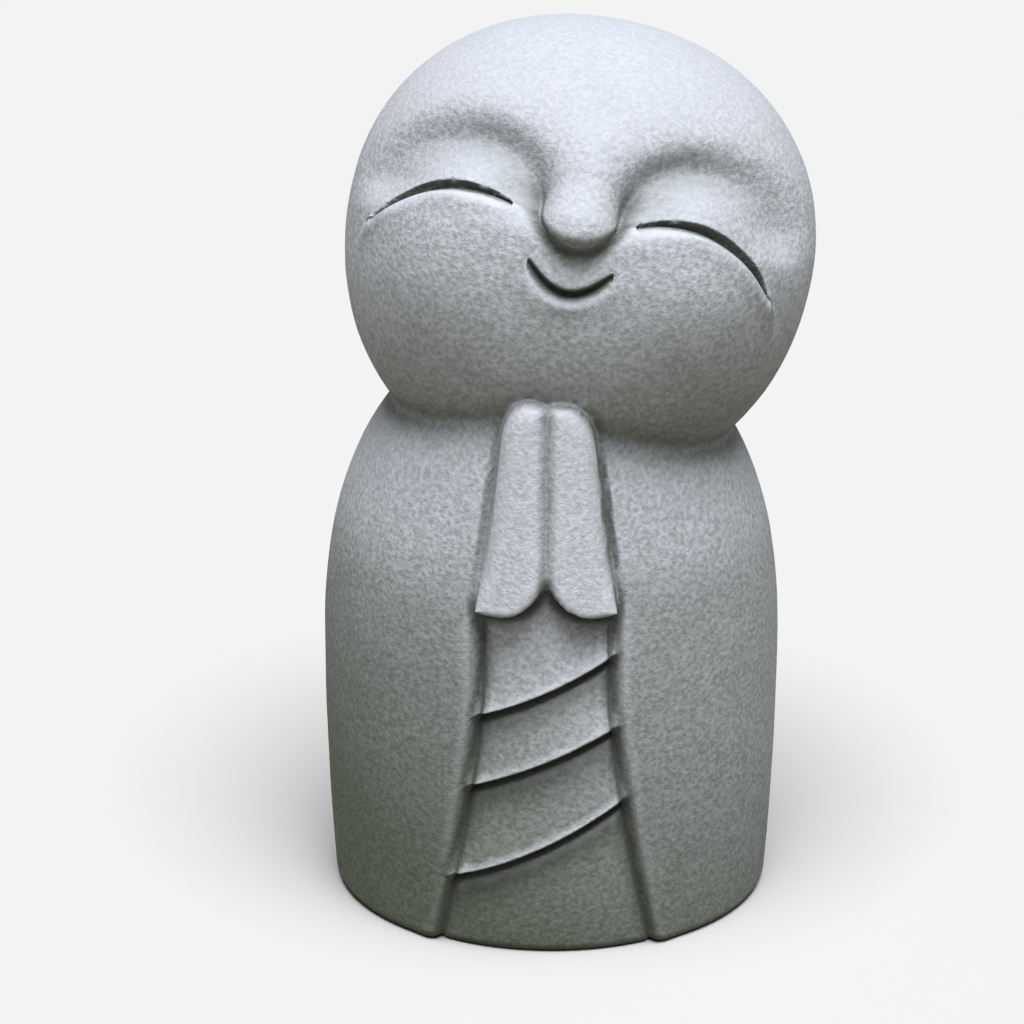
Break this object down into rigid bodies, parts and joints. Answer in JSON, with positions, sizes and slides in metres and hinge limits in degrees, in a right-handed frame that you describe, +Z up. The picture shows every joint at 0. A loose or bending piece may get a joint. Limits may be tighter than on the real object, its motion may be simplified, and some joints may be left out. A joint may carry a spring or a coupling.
{
  "type": "stone jizo statue",
  "caption": "Small carved stone monk with a round smiling head, hands pressed together and an open robe over a folded under-robe.",
  "frame": {"origin": "middle of the flat underside, on the surface that the statue stands on", "axes": "+Z up from the underside to the crown, -Y the way the face and the hands look, +X the side the head leans to"},
  "size_m": [0.0453, 0.0421, 0.083],
  "materials": {
    "stone": "dry, fine-grained grey stone, matt"
  },
  "bodies": {
    "root": {"jizo_statue": "stone"}
  },
  "joints": []
}
